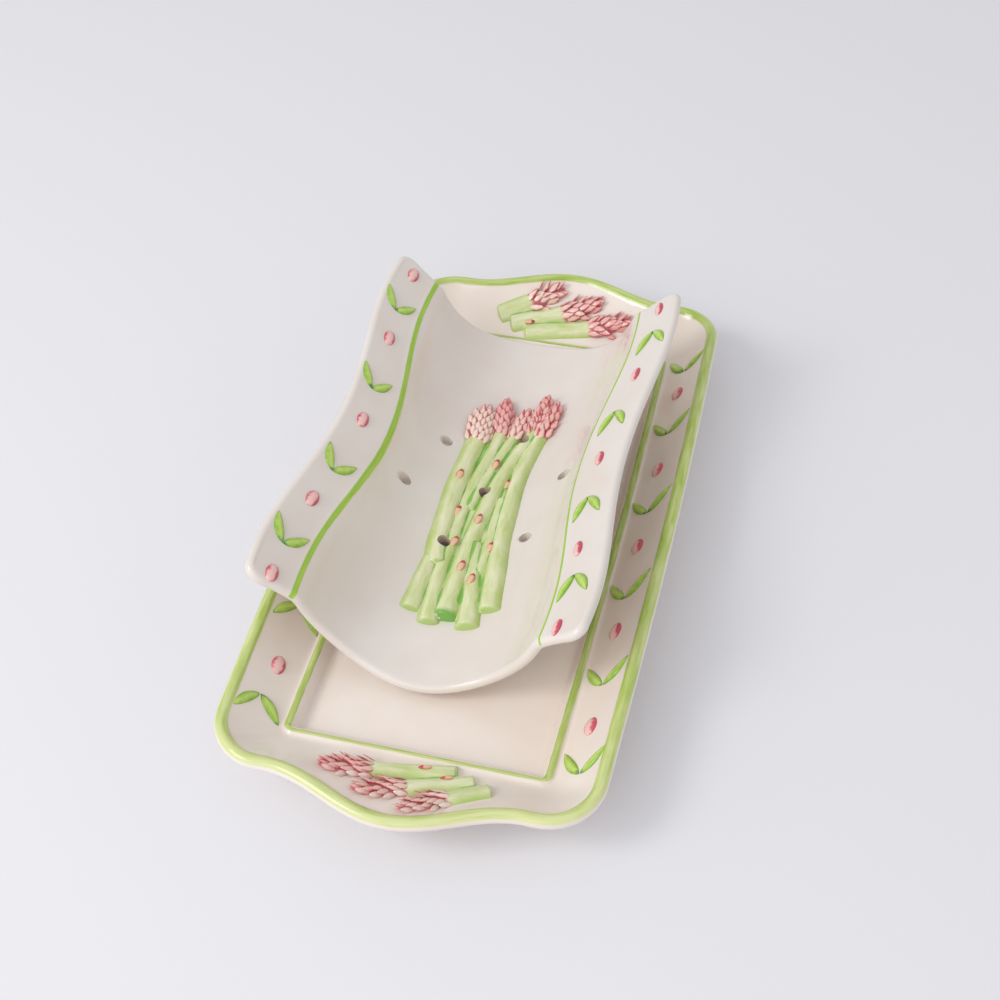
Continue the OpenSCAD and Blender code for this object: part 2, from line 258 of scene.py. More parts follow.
def cream(tree, in_mm, pale, deep):
    """Cream body showing through clear glaze, a little warmer where the glaze is thick."""
    return brushed(tree, in_mm, (1 / CREAM_MM,) * 3, 0.35, 0.65, pale, deep, 2.0)


def brush_green(tree, along_mm, across, width, thin, pale, deep):
    """Yellow-green underglaze brushed along a bead in long streaks: paler on the outer flank
    and deeper on the inner one. A further share makes the green paler where it is positive
    and deeper where it is negative."""
    place = add_node(tree, "CombineXYZ", (along_mm, across))
    stretched = add_node(tree, "Mapping", {"Vector": place, "Scale": (1 / STREAK_MM, 1.6 / width, 1.0)})
    streak = add_node(tree, "TexNoise", {"Vector": stretched, "Scale": 1.0, "Detail": 4.0})
    thick = add_node(tree, "Math", (across, 0.25 / width, 0.0), operation="MULTIPLY_ADD")
    thick = add_node(tree, "Math", (streak, 2.0, thick), operation="MULTIPLY_ADD")
    thick = add_node(tree, "Math", (thin, -0.4, thick), operation="MULTIPLY_ADD")
    return coated(tree, pale, (add_node(tree, "MapRange", (thick, 0.45, 1.5)), deep))


def platter_colour(tree, in_mm, along, rim, well, thin, bare):
    """Cream, with both beads brushed green and a bare biscuit foot."""
    off_crown = add_node(tree, "Math", (rim, 1.0, -RIM_PAINT_OFF), operation="MULTIPLY_ADD")
    return coated(tree, cream(tree, in_mm, "#F5EBE2", "#F1E3D7"),
                  (band(tree, off_crown, in_mm, **RIM_PAINT),
                   brush_green(tree, along, rim, RIM_BRUSH, thin, "#DCE2A2", "#9DBC3A")),
                  (band(tree, well, in_mm, **LINE_PAINT),
                   brush_green(tree, along, well, WELL_BRUSH, thin, "#D2DB92", "#8CAE26")),
                  (bare, BISCUIT))


def crown_step(first, last, steps):
    """The step of a bead, swept from the first angle to the last, that is nearest its top."""
    return round((np.pi / 2 - first) / (last - first) * steps)


def platter_rings():
    """The section's key rings in order: underside, foot, rim bead, border, well bead,
    well wall and floor, each stretch in even steps. Returns rings, and which two are the
    crowns of the rim bead and of the well's bead."""
    rim_plan = closed_loop(RIM_HALF_W, RIM_HALF_L, PLATTER["corner_r"], PLATTER["side_bow"],
                           PLATTER["lobe_out"])
    rim = at_height(rim_plan, PLATTER["rim_h"] + PLATTER["side_rise"] * bow(rim_plan[:, 1] / RIM_HALF_L))
    rim_r, well_r = PLATTER["bead_d"] / 2, WELL["bead_d"] / 2
    well = well_line(0, WELL_Z)
    lean, foot_h, foot_w = WELL["lean"], PLATTER["foot_h"], PLATTER["foot_w"]
    foot_in, foot_out = -lean - 1.5 * foot_w, -lean - foot_w / 2
    foot = [(foot_in - FOOT_R, foot_h), (foot_in, foot_h - FOOT_R), (foot_in + FOOT_CUT, FOOT_CUT),
            (foot_in + FOOT_R, 0), (foot_out - FOOT_R, 0), (foot_out - FOOT_CUT, FOOT_CUT),
            (foot_out, foot_h - FOOT_R), (foot_out + FOOT_R, foot_h), (-lean, foot_h)]
    under = well_line(foot[0][0], foot_h)
    under_well = well_line(0, WELL_Z - PLATTER["wall"])
    rim_bead = bead_rings(rim, outward(rim_plan), rim_r, BEAD_UNDER, BEAD_OVER, RIM_STEPS)
    well_bead = bead_rings(well, outward(well[:, :2]), well_r,
                           WELL_BEAD_OUT, np.pi - WELL_BEAD_OUT, WELL_STEPS)
    stretches = [under[None] * np.array([f, f, 1]) for f in UNDER_SHARES]
    for here, there in zip(foot[:-1], foot[1:]):
        start, end = well_line(*here), well_line(*there)
        stretches += [start[None], rings_between(start, end, 3)]
    under_floor = well_line(-lean, foot_h)
    stretches += [under_floor[None], rings_between(under_floor, under_well, 6), under_well[None],
                  rings_between(under_well, rim_bead[0], 20, WELL["dip"]), rim_bead,
                  rings_between(rim_bead[-1], well_bead[0], 26, WELL["dip"])]
    crown_rim = sum(len(s) for s in stretches[:-2]) + crown_step(BEAD_UNDER, BEAD_OVER, RIM_STEPS)
    crown_well = (sum(len(s) for s in stretches)
                  + crown_step(WELL_BEAD_OUT, np.pi - WELL_BEAD_OUT, WELL_STEPS))
    floor_edge = well_line(-lean, FLOOR_Z)
    wall_mid = well_line(-lean * 0.75, FLOOR_Z + WELL["depth"] * 0.25)
    stretches += [well_bead, rings_between(well_bead[-1], wall_mid, 5), wall_mid[None],
                  rings_between(wall_mid, floor_edge, 3), floor_edge[None]]
    floor_in = well_line(-lean - 6, FLOOR_Z)
    stretches += [rings_between(floor_edge, floor_in, 6), floor_in[None]]
    stretches += [floor_in[None] * np.array([f, f, 1]) for f in FLOOR_SHARES]
    return relaxed(np.concatenate(stretches), 3), crown_rim, crown_well


rings, crown_rim, crown_well = platter_rings()
ring_count, point_count = rings.shape[:2]
run = np.cumsum(np.linalg.norm(np.diff(rings, axis=0, prepend=rings[:1]), axis=2), axis=0)
rim_line = rings[crown_rim]
along = np.cumsum(np.linalg.norm(np.diff(rim_line, axis=0, prepend=rim_line[:1]), axis=1))
end_on = outward(well_line(0, 0)[:, :2])[:, 1] ** 2
well_paint_half = WELL_PAINT_SIDE + (WELL_PAINT_END - WELL_PAINT_SIDE) * end_on
faces = grid_faces(ring_count, point_count, True).tolist()
faces += [list(range(point_count))[::-1],
          list(range((ring_count - 1) * point_count, ring_count * point_count))]
# One mark makes the beads' green paler towards the near end.
measures = {
    "rim_mm": run - run[crown_rim], "well_share": (run - run[crown_well]) / well_paint_half,
    "along_mm": np.broadcast_to(along, (ring_count, point_count)),
    "thin": np.clip((-rings[..., 1] - PALER_FROM) / PALER_OVER, 0, 1), "bare": rings[..., 2] < BARE_UNDER}
clay_piece("platter_casting", (rings.reshape(-1, 3), faces, measures),
           glazed("platter_glazed_earthenware", platter_colour,
                  "along_mm", "rim_mm", "well_share", "thin", "bare"), "platter")

# Raised leaves and berries run along the platter's side borders, cast in the same clay.
# Each pair of leaves makes a V that opens away from the apex, and a berry stands between
# two pairs. They are brushed in underglaze green and pink, dark where the paint gathers.
# Places are given one by one, and are uneven. Each row of leaves: its apexes, the plan way that
# its leaves take and how far they bend, in shares of their length.
RIGHT_APEXES = [(71.8, y) for y in (-135.8, -89.1, -38.6, 16.6, 73.3, 122.7)]
LEFT_APEXES = [(-73.0, y) for y in (-128.1, -76.9, -25.7, 25.5, 76.7, 127.9)]
BORDER_BERRIES = ([(71.5, y) for y in (-111.2, -58.2, -5.7, 47.2, 105.0)]
                  + [(-71.3, y) for y in (-110.8, -59.0, -7.8, 43.4, 94.6)])
BORDER_LEAVES = ((RIGHT_APEXES, (-9.3, 13.4), 0.05), (RIGHT_APEXES, (9.6, 11.4), -0.05),
                 (LEFT_APEXES, (10.8, -9.6), 0.05), (LEFT_APEXES, (-7.6, -13.6), -0.05))
LEAF_W, LEAF_H, BERRY_W, BERRY_L, BERRY_H = 5.0, 1.4, 7.5, 9.8, 1.7
PALE_SPOT = (0.42, 0.14, 0.0)      # where on a berry the brush left least paint


def side_border(points):
    """The side border under plan points, and its normals: a straight slope from the well's
    bead to the rim's bead, sunk by dip sin(pi f)."""
    x, y = np.moveaxis(np.asarray(points, float), -1, 0)
    inner = WELL["w"] / 2 + WELL["bow"] * bow(2 * y / WELL["l"]) + WELL_EDGE_OUT
    outer = RIM_HALF_W + PLATTER["side_bow"] * bow(y / RIM_HALF_L) + RIM_EDGE_OUT
    low = WELL_Z + WELL_EDGE_UP
    rise = PLATTER["rim_h"] + PLATTER["side_rise"] * bow(y / RIM_HALF_L) + RIM_EDGE_UP - low
    f = (np.abs(x) - inner) / (outer - inner)
    slope = np.arctan((rise - WELL["dip"] * np.pi * np.cos(np.pi * f)) / (outer - inner)) * np.sign(x)
    place = np.stack([x, y, low + rise * f - WELL["dip"] * np.sin(np.pi * f)], -1)
    return place, np.stack([-np.sin(slope), 0 * x, np.cos(slope)], -1)


def spindles(points, ways, normals, sizes, widest, point_power, steps=(12, 14), sink=0.5, bend=0.0):
    """Low closed domes, one for each start point. Each runs along its way by its length;
    half width and height follow sin(pi a^k)^p, which is widest at the share a that is
    given and is blunter for a smaller power. Its underside is sunk in the clay, and its
    middle is moved sideways by bend sin(pi a) of its length."""
    a = np.linspace(0, 1, steps[0] + 1)[:, None]
    turn = 2 * np.pi * np.arange(steps[1]) / steps[1]
    swell = np.sin(np.pi * a ** (np.log(0.5) / np.log(widest))) ** point_power
    b, c = swell * np.cos(turn), swell * np.sin(turn)
    c = np.where(c > 0, c, c * sink)
    length, width, height = np.moveaxis(np.asarray(sizes, float), -1, 0)[:, :, None, None, None]
    ways = ways / np.linalg.norm(ways, axis=-1, keepdims=True)
    normals = normals - np.sum(normals * ways, -1, keepdims=True) * ways
    normals = normals / np.linalg.norm(normals, axis=-1, keepdims=True)
    sides = np.cross(normals, ways)
    bent = np.reshape(bend, (-1, 1, 1, 1)) * np.sin(np.pi * a)[..., None] * length
    solid = (points[:, None, None] + a[..., None] * length * ways[:, None, None]
             + (b[..., None] * width / 2 + bent) * sides[:, None, None]
             + c[..., None] * height * normals[:, None, None])
    faces = grid_faces(steps[0] + 1, steps[1], True)
    count = (steps[0] + 1) * steps[1]
    every = (faces[None] + count * np.arange(len(points))[:, None, None]).reshape(-1, 4)
    shape = solid.shape[:3]
    marks = {"a": np.broadcast_to(a, shape), "b": np.broadcast_to(b, shape),
             "side": np.broadcast_to(np.cos(turn), shape)}
    return solid.reshape(-1, 3), every, marks


def brushed_edge(tree, value, place, per_mm, ragged, low, high, detail=3.0):
    """0 where the value is at low and 1 at high, along an edge that blots of paint, so
    many per mm, move by up to the ragged amount. Low may be the greater."""
    blot = add_node(tree, "TexNoise", {"Vector": place, "Scale": per_mm, "Detail": detail})
    moved = add_node(tree, "Math", (blot, ragged, value), operation="MULTIPLY_ADD")
    return add_node(tree, "MapRange", (moved, low, high))


def leaf_colour(tree, in_mm, a, side):
    """Pale yellow-green along the middle of a leaf, partly its own pale wash and partly a
    painted highlight on its crown; grassy at its edges, and dark green where the brush was
    set down at its root and lifted at its tip."""
    off_rib = add_node(tree, "Math", (side,), operation="ABSOLUTE")
    off_middle = add_node(tree, "Math", (a, 1.0, -0.52), operation="MULTIPLY_ADD")
    off_middle = add_node(tree, "Math", (off_middle,), operation="ABSOLUTE")
    # The pale base shows along the leaf's crown, and is partly a painted highlight.
    return coated(tree, "#C4DD72",
                  (brushed_edge(tree, off_rib, in_mm, 0.4, 1.2, 0.7, 1.65), "#84B52E"),
                  (brushed_edge(tree, off_middle, in_mm, 0.4, 0.3, 0.52, 0.64), "#2F7F38"))


def berry_colour(tree, in_mm, a, b):
    """Pale pink with a crimson stroke round one side of the berry and at its top."""
    spot = add_node(tree, "CombineXYZ", (a, b, 0.0))
    off_pale = add_node(tree, "VectorMath", (spot, PALE_SPOT), out="Value", operation="DISTANCE")
    return coated(tree, "#F4C6C1",
                  (brushed_edge(tree, off_pale, in_mm, 0.5, 0.9, 0.84, 1.2), "#D25468"))


def on_surface(surface, plan, height=0.0):
    """Points at heights above a surface, along its normals, over plan points."""
    place, up = surface(plan)
    return place + np.reshape(height, (-1, 1)) * up


def leaves_on(surface, rows):
    """Rows of leaves that start at their apexes and reach the ends of their plan ways."""
    apexes = np.concatenate([row[0] for row in rows])
    ways, bend = (np.repeat([row[n] for row in rows], [len(row[0]) for row in rows], 0) for n in (1, 2))
    start, end = on_surface(surface, apexes), on_surface(surface, apexes + ways)
    length = np.linalg.norm(end - start, axis=1)
    sizes = np.stack([length, np.full_like(length, LEAF_W), np.full_like(length, LEAF_H)], -1)
    return spindles(start, end - start, surface(apexes + ways / 2)[1], sizes,
                    widest=0.46, point_power=0.75, bend=bend)


def berries_on(surface, middles, width):
    """Berries that lie lengthways, with their middles at plan points."""
    half = np.array([0, BERRY_L / 2])
    start, end = on_surface(surface, middles - half), on_surface(surface, middles + half)
    sizes = np.stack([np.full(len(middles), BERRY_L), np.broadcast_to(width, len(middles)),
                      np.full(len(middles), BERRY_H)], -1)
    return spindles(start, end - start, surface(middles)[1], sizes, widest=0.5, point_power=0.5)


green_leaf = glazed("green_leaf_underglaze_and_painted_highlight", leaf_colour, "a", "side")
pink_berry = glazed("underglaze_pink_berry", berry_colour, "a", "b")
clay_piece("platter_leaves", leaves_on(side_border, BORDER_LEAVES), green_leaf, "platter")
clay_piece("platter_berries", berries_on(side_border, np.array(BORDER_BERRIES), BERRY_W),
           pink_berry, "platter")

# Three asparagus spears lie on the border of each end, cast in low relief with the clay.
# Stalks touch and part in creases, and each ends in a head of small overlapping scales.
# They are brushed pale green, with darker strokes in the creases, and pink and crimson.
SPEAR_SHAPE_POWER, SPEAR_FALL, BUTT_ROUND = 2.4, 6.0, 0.8
UNEVEN, UNEVEN_MM = 0.22, 6.1      # how far a stalk's sides waver by hand, and over what length
SUNK, UNDER = -0.9, -1.6      # where a relief's edge and its underside are in the clay
GOLDEN = 0.618      # the remainders of its multiples tell one stalk from the next
HEAD_SOFT = 1.5      # how far the head's paint runs out over its neck
GAP_FAR = 9.0      # the greatest gap that is told to the paint
SCALE_SPREAD, SCALE_LEAN, SCALE_TILT = 0.93, 0.42, np.radians(58)
LEAN_LOW, LEAN_AT_TIP = 1.0, -0.6      # scales lean out low on the head and in at its tip
STRAY_ALONG, STRAY_ACROSS = 37.0, 15.0      # how fast their stray lean changes
SCALE_GROW = (0.95, 1.0, 0.72)      # their size at the neck, past the middle and at the tip
BLUSH_RISE = 0.55      # how much the blush deepens from neck to tip
SCALE_SUNK, SCALE_TIP_SUNK, BARE_TIP = 0.35, 0.05, 3.6


def spear(path, w, h, lift=(0, 0), head=None, blush=0.0):
    """One spear: its plan path from butt to tip, its widths at the butt and the neck, its
    height, how far its ends are lifted, its head's length and width, and its blush."""
    return dict(path=path, w=w, h=h, lift=lift, head=head, blush=blush)


END_SPEARS = (
    spear(((-20.5, 144.4), (15.3, 151.6), (36.6, 156.6)), (11, 10.6), 3.2, head=(23, 9.6), blush=0.8),
    spear(((-29.5, 148), (-0.5, 159), (18.6, 166.6)), (11, 10.6), 3.1, head=(23, 9.6), blush=0.6),
    spear(((-37, 151.2), (-18.6, 162.5), (-4.2, 172.6)), (10.6, 10.2), 2.9, head=(21, 9), blush=0.3))
END_GRID = ((-46.0, 44.0), (136.0, 178.0), 0.5)
FAR_SCALES = dict(size=(8.6, 4.1, 0.6), row_step=3.1, step=3.1, stray=0.34)
NEAR_SCALES = dict(size=(7.4, 2.9, 0.4), row_step=2.6, step=2.5, stray=0.36)
NEAR_BLUSH, BARE_FROM = 0.75, 0.8      # the near heads are paler, and bare on their outer side
FAR_BRACTS = ((-18.9, 149.6),)
NEAR_BRACTS = ((-7.4, 146.8), (-18.2, 150.7))
END_BRACT = dict(way=(5.8, 1.6), width=2.9)
BUNCH_BRACT = dict(way=(1.0, 7.0), width=3.9)
BRACT_H = 1.0


def end_border(points):
    """The end border under plan points, and its normals: straight from the well's bead to
    the rim's, sunk by dip sin(pi f)."""
    x, y = np.moveaxis(np.asarray(points, float), -1, 0)
    inner = WELL["l"] / 2 + WELL_EDGE_OUT
    outer = RIM_HALF_L + PLATTER["lobe_out"] * hump(2 * x / PLATTER["lobe_w"]) + RIM_EDGE_OUT
    low = WELL_Z + WELL_EDGE_UP
    rise = PLATTER["rim_h"] + RIM_EDGE_UP - low
    f = (y - inner) / (outer - inner)
    slope = np.arctan(rise / (outer - inner))
    place = np.stack([x, y, low + rise * f - WELL["dip"] * np.sin(np.pi * np.clip(f, 0, 1))], -1)
    return place, np.stack([0 * x, -np.sin(slope), np.cos(slope)], -1)


def along_route(route):
    """The route with its corners cut to quarters until it flows, then taken at even steps
    of 1 mm: its points, its directions and its lengths."""
    points = np.array(route, float)
    for _ in range(3):
        cut = np.stack([0.75 * points[:-1] + 0.25 * points[1:], 0.25 * points[:-1] + 0.75 * points[1:]], 1)
        points = np.concatenate([points[:1], cut.reshape(-1, 2), points[-1:]])
    run = np.concatenate([[0], np.cumsum(np.linalg.norm(np.diff(points, axis=0), axis=1))])
    at = np.linspace(0, run[-1], int(run[-1]) + 1)
    path = np.stack([np.interp(at, run, column) for column in points.T], -1)
    way = np.gradient(path, axis=0)
    return path, way / np.linalg.norm(way, axis=1)[:, None], at


def spear_form(spear, at, end):
    """Half width and height at distances from the butt: straight to the neck, then a bud
    that is widest at 0.35 of the head and narrows to its tip; a little uneven by hand."""
    butt_w, neck_w = spear["w"]
    if spear["head"] is None:
        half = np.interp(at, (0, end), (butt_w / 2, neck_w / 2))
        return half, np.full_like(half, spear["h"])
    head_l, head_w = spear["head"]
    knots = [0, end - head_l, end - 0.65 * head_l, end - 0.3 * head_l, end - 1.5, end]
    half = np.interp(at, knots, (butt_w / 2, neck_w / 2, head_w / 2, 0.38 * head_w, 0.13 * head_w, 0.8))
    uneven = UNEVEN * np.sin(at / UNEVEN_MM + butt_w * 7) * (at < end - head_l)
    return half + uneven, spear["h"] * np.interp(at, knots, (1, 1, 1.02, 0.85, 0.45, 0.3))


def relief(points, spears):
    """Height of the relief over plan points. Across a spear at side share q it is
    lift + h (1 - q^2.4), and falls steeply past q = 1; the butt falls by e^2 over its last
    mm. The highest spear counts, and the paint is told how far below the next one is."""
    heights, marks = [], []
    for number, spear in enumerate(spears):
        path, way, at = along_route(spear["path"])
        far = (path ** 2).sum(1) - 2 * points @ path.T
        nearest = far.argmin(1)
        off = points - path[nearest]
        run = at[nearest] + (off * way[nearest]).sum(1)
        side = off[:, 0] * way[nearest, 1] - off[:, 1] * way[nearest, 0]
        half, high = spear_form(spear, run, at[-1])
        q = side / half
        past = np.maximum(BUTT_ROUND - run, 0) + np.maximum(run - at[-1] + BUTT_ROUND, 0)
        size = np.abs(q)
        heights.append(np.interp(run, (0, at[-1]), spear["lift"]) - (past / BUTT_ROUND) ** 2
                       + high * np.where(size < 1, 1 - size ** SPEAR_SHAPE_POWER, SPEAR_FALL * (1 - size)))
        head_l = spear["head"][0] if spear["head"] else -GAP_FAR
        marks.append(np.stack([run, q, np.full_like(q, number * GOLDEN % 1),
                               np.clip((run - at[-1] + head_l - 0.5) / HEAD_SOFT, 0, 1)]))
    heights, marks = np.array(heights), np.array(marks)
    top = heights.argmax(0)
    every = np.arange(len(points))
    best = heights[top, every]
    second = np.partition(np.concatenate([heights, np.full((1, len(points)), SUNK)]), -2, axis=0)[-2]
    run, q, which, head = marks[top, :, every].T
    return best, {"along_mm": run, "sideways": q, "which": which, "head": head,
                  "gap_mm": np.minimum(best - second, GAP_FAR)}


def relief_solid(surface, grid, spears):
    """The relief as a closed sheet over the cells of a plan grid that a spear covers: its
    top on the spears, its edge sunk in the clay, and its underside deeper still."""
    (x0, x1), (y0, y1), step = grid
    x, y = np.meshgrid(np.arange(x0, x1, step), np.arange(y0, y1, step), indexing="ij")
    plan = np.stack([x.ravel(), y.ravel()], -1)
    height, marks = relief(plan, spears)
    quads = grid_faces(*x.shape, False)
    quads = quads[height[quads].max(1) > SUNK]
    used, quads = np.unique(quads, return_inverse=True)
    quads, count = quads.reshape(-1, 4), len(used)
    top = on_surface(surface, plan[used], np.maximum(height[used], SUNK))
    under = on_surface(surface, plan[used], np.full(count, UNDER))
    sides = np.stack([quads, np.roll(quads, -1, 1)], -1).reshape(-1, 2)
    _, first, times = np.unique(np.sort(sides, 1), axis=0, return_index=True, return_counts=True)
    rim = sides[first[times == 1]]
    wall = np.concatenate([rim[:, ::-1], rim + count], 1)
    return (np.concatenate([top, under]), np.concatenate([quads, quads[:, ::-1] + count, wall]),
            {key: np.tile(values[used], 2) for key, values in marks.items()})


def head_scales(surface, spears, size, row_step, step, stray):
    """Scales of the heads: rows up each head, each row turned half a step from the one
    below. A scale starts on the relief, leans out to its side and lies over the next."""
    gathered = []
    for spear in spears:
        if spear["head"] is None:
            continue
        path, way, at = along_route(spear["path"])
        head_l = spear["head"][0]
        rows = np.arange(at[-1] - head_l - 1.0, at[-1] - BARE_TIP, row_step)
        half = spear_form(spear, rows, at[-1])[0]
        counts = np.maximum(np.round(2 * half / step), 1).astype(int)
        place = np.repeat(rows, counts)
        number = np.concatenate([np.arange(count) for count in counts])
        many = np.repeat(counts, counts)
        shift = np.repeat(np.arange(len(rows)) % 2, counts) * 0.5 - 0.25
        q = (np.clip((number + 0.5 + shift) / many * 2 - 1, -SCALE_SPREAD, SCALE_SPREAD)
             * np.where(many > 1, 1, 0.2))
        ahead = np.stack([np.interp(place, at, column) for column in way.T], -1)
        right = np.stack([ahead[:, 1], -ahead[:, 0]], -1)
        middle = np.stack([np.interp(place, at, column) for column in path.T], -1)
        plan = middle + right * (q * np.repeat(half, counts))[:, None]
        lean = ((SCALE_LEAN * q + stray * np.sin(STRAY_ALONG * place + STRAY_ACROSS * q))
                * np.interp(place, (at[-1] - head_l * 0.6, at[-1]), (LEAN_LOW, LEAN_AT_TIP)))[:, None]
        height = relief(plan, spears)[0]
        start = on_surface(surface, plan, height - SCALE_SUNK)
        end = on_surface(surface, plan + ahead + lean * right, height - SCALE_TIP_SUNK)
        up = surface(plan)[1]
        side = np.cross(end - start, up)
        tilt = SCALE_TILT * q[:, None]
        grow = np.interp(place, (at[-1] - head_l, at[-1] - 0.4 * head_l, at[-1]), SCALE_GROW)
        blush = np.clip(spear["blush"] + BLUSH_RISE * ((place - at[-1]) / head_l + 0.5), 0, 1)
        gathered.append((start, end - start, up * np.cos(tilt) + side * np.sin(tilt),
                         np.array(size) * grow[:, None], blush, q))
    *forms, blush, q = (np.concatenate(part) for part in zip(*gathered))
    points, faces, marks = spindles(*forms, widest=0.45, point_power=0.72, steps=(8, 10), sink=0.6)
    marks["blush"], marks["sideways"] = (
        np.broadcast_to(values[:, None, None], marks["a"].shape) for values in (blush, q))
    return points, faces, marks


def turned_half(points):
    """Points turned by half a turn about the upright axis."""
    return points * (-1, -1, 1)


def moved(solid, place):
    """The solid with its points placed anew."""
    points, faces, marks = solid
    return place(points), faces, marks


POOLED_STALK = 8 * GOLDEN % 1      # the last of the bunch, whose butt caught the paint


def stalk_colour(tree, in_mm, along, sideways, which, gap, head, cut):
    """Pale green brushed lengthways and deeper down the sides, with dark strokes drawn in
    the creases between stalks, and crimson in the hollows between a head's scales."""
    place = add_node(tree, "CombineXYZ", (along, sideways, which))
    off_middle = add_node(tree, "Math", (sideways,), operation="ABSOLUTE")
    pooled = add_node(tree, "Math", (which, POOLED_STALK, 0.03), operation="COMPARE")
    pool = brushed_edge(tree, along, in_mm, 0.3, 4.0, 6.0, 3.0)
    return coated(tree, brushed(tree, place, (1 / 15, 1.5, 12.0), 0.3, 0.7, "#ECECC8", "#C6D486"),
                  (brushed_edge(tree, off_middle, in_mm, 0.08, 0.7, 0.85, 1.5), "#AECB62"),
                  (add_node(tree, "MapRange", (along, 0.9, -0.2)), "#B4CB7C"),
                  (add_node(tree, "Math", (pooled, pool), operation="MULTIPLY"), "#78B04E"),
                  (brushed_edge(tree, gap, in_mm, 0.1, 3.6, 2.65, 2.1, 4.0), "#8CC45A"),
                  (head, "#CE7579"), (cut, "#C9B7A6"))


def scale_colour(tree, in_mm, a, side, blush, unpainted):
    """Blushed scales: cream-peach to pink in the middle, with a crimson line brushed
    unevenly round the edge. Some of the near end's are left bare cream."""
    off_rib = add_node(tree, "Math", (side,), operation="ABSOLUTE")
    off_root = add_node(tree, "Math", (a, 0.35, off_rib), operation="MULTIPLY_ADD")
    return coated(tree, "#F6DFCF", (blush, "#EDA3A0"),
                  (brushed_edge(tree, off_root, in_mm, 0.3, 1.5, 1.35, 2.0, 4.0), "#CC4055"),
                  (unpainted, "#F3EAE2"))


def bract_colour(tree, in_mm, a, side):
    """Peach with a red-brown edge, and crimson where the brush lifted at the tip."""
    off_rib = add_node(tree, "Math", (side,), operation="ABSOLUTE")
    return coated(tree, "#EBC39F",
                  (brushed_edge(tree, off_rib, in_mm, 0.5, 0.8, 0.9, 1.5), "#C9735C"),
                  (brushed_edge(tree, a, in_mm, 0.5, 0.3, 0.76, 0.88), "#C8384A"))


def bracts_on(surface, spears, middles, way, width):
    """Small pointed bracts that lie on the stalks, with their middles at plan points."""
    middles, half = np.array(middles), np.array(way) / 2
    start, end = (on_surface(surface, plan, np.maximum(relief(plan, spears)[0], 0) + over)
                  for plan, over in ((middles - half, -0.1), (middles + half, 0.1)))
    sizes = np.tile((np.hypot(*way), width, BRACT_H), (len(middles), 1))
    return spindles(start, end - start, surface(middles)[1], sizes, widest=0.45, point_power=0.6)


stalk_green = glazed("underglaze_stalk_green", stalk_colour,
                     "along_mm", "sideways", "which", "gap_mm", "head", "cut")
scale_pink = glazed("underglaze_scale_pink", scale_colour, "a", "side", "blush", "unpainted")
bract_peach = glazed("underglaze_bract_peach", bract_colour, "a", "side")
end_relief = relief_solid(end_border, END_GRID, END_SPEARS)
far_scales = head_scales(end_border, END_SPEARS, **FAR_SCALES)
near_scales = head_scales(end_border, END_SPEARS, **NEAR_SCALES)
near_marks = near_scales[2]
near_marks["blush"] = near_marks["blush"] * NEAR_BLUSH
near_marks["unpainted"] = (np.clip((-near_marks["sideways"] - BARE_FROM) / 0.1, 0, 1)
                           * np.clip((near_marks["a"] - 0.3) / 0.3, 0, 1))
far_bracts, near_bracts = (bracts_on(end_border, END_SPEARS, middles, **END_BRACT)
                           for middles in (FAR_BRACTS, NEAR_BRACTS))
for name, solid, colour in (("far_spears", end_relief, stalk_green),
                            ("far_head_scales", far_scales, scale_pink),
                            ("far_bracts", far_bracts, bract_peach),
                            ("near_spears", moved(end_relief, turned_half), stalk_green),
                            ("near_head_scales", moved(near_scales, turned_half), scale_pink),
                            ("near_bracts", moved(near_bracts, turned_half), bract_peach)):
    clay_piece(name, solid, colour, "platter")

# The drainer is one slip-cast piece too: a trough with a waist, flaps along its sides, a
# tongue at each end and seven drain holes. It has a rolled edge, and a green line is
# brushed along the root of each flap.
DRAINER = dict(w=151.0, l=240.0, wall=5.0, floor_r=63.0, side_r=51.0, flap_r=12.0,
               waist_in=5.6, waist_dip=6.5, swell=1.9, tongue_out=7.6, tongue_w=103.0,
               flare=4.6, corner_r=6.0, foot_h=4.0, foot_l=112.0, foot_w=40.0, foot_wall=5.0)
FLOOR_TURN, SIDE_TURN, FLAP_TURN = np.radians((26.0, 70.0, 40.0))
DRAINER_PLACE = (-9.0, 14.5)
DRAINER_TURN = np.radians(-0.25)
REST_GAP = 0.3
HOLE_D, HOLE_RING_R, HOLE_COUNT, HOLE_TURN = 6.0, 39.0, 6, np.radians(15.0)
EDGE_R = DRAINER["wall"] / 2
SHEET_HALF_W = DRAINER["w"] / 2 - EDGE_R * np.cos(FLAP_TURN)
SHEET_HALF_L = DRAINER["l"] / 2 - EDGE_R
DRAINER_Z = FLOOR_Z + REST_GAP + DRAINER["foot_h"] + EDGE_R
LINE_WAIST_SHARE, LINE_END_SHARE = 0.734, 0.771
LINE_LEFT, LINE_RIGHT = 1.2, 0.55      # half widths of the painted line
RIDGE_H, RIDGE_W = 0.4, 1.3      # the low ridge that the line is brushed on
SECTIONS, ROUND_STEPS = 201, 6
ARC_STEPS, FLAP_STEPS = (12, 14, 8), 16      # of the half section, from the middle out
FLAP_CROWDING = 1.5      # the flap's steps get shorter towards its edge
EDGE_TURNS = np.radians(np.linspace(75, 0, ROUND_STEPS))
END_TURNS = np.radians(np.linspace(90, 15, ROUND_STEPS))
DRAINER_CREAM = ("#EBE3DC", "#E7DDD4")
HOLE_SIDES, DRILL_L, DRILL_UP = 48, 60.0, 10.0
OFF_LINE = 40.0      # a distance from the line at which nothing is painted
BARE_WALL = dict(line_share=OFF_LINE, cut=1.0)


def profile_arc(start, r, first, last, steps):
    """Points on an arc of radius r from the start point, as the slope turns from first to
    last: across by r (sin c - sin a), up by r (cos a - cos c)."""
    slope = np.linspace(first, last, steps + 1)[1:]
    way = np.sign(last - first)
    return np.stack([start[0] + way * r * (np.sin(slope) - np.sin(first)),
                     start[1] + way * r * (np.cos(first) - np.cos(slope)), slope], -1)


